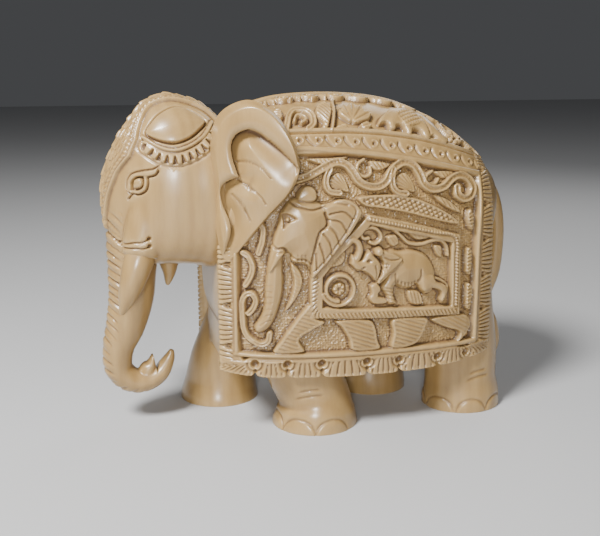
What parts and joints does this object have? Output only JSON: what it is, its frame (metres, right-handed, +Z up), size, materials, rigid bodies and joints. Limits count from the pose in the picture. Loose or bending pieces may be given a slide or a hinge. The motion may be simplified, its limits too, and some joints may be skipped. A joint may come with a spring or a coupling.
{
  "type": "carved elephant figurine",
  "caption": "Carved wooden elephant walking in a long relief-carved saddle cloth, trunk curled under its tusks; stands as an ornament.",
  "frame": {"origin": "on the ground, under the middle of the figure's length and width", "axes": "+Z up; the figure faces -X; its left side faces -Y"},
  "size_m": [0.2002, 0.0946, 0.1506],
  "materials": {
    "wood": "satin polished pale whitewood"
  },
  "bodies": {
    "root": {"elephant": "wood"}
  },
  "joints": []
}
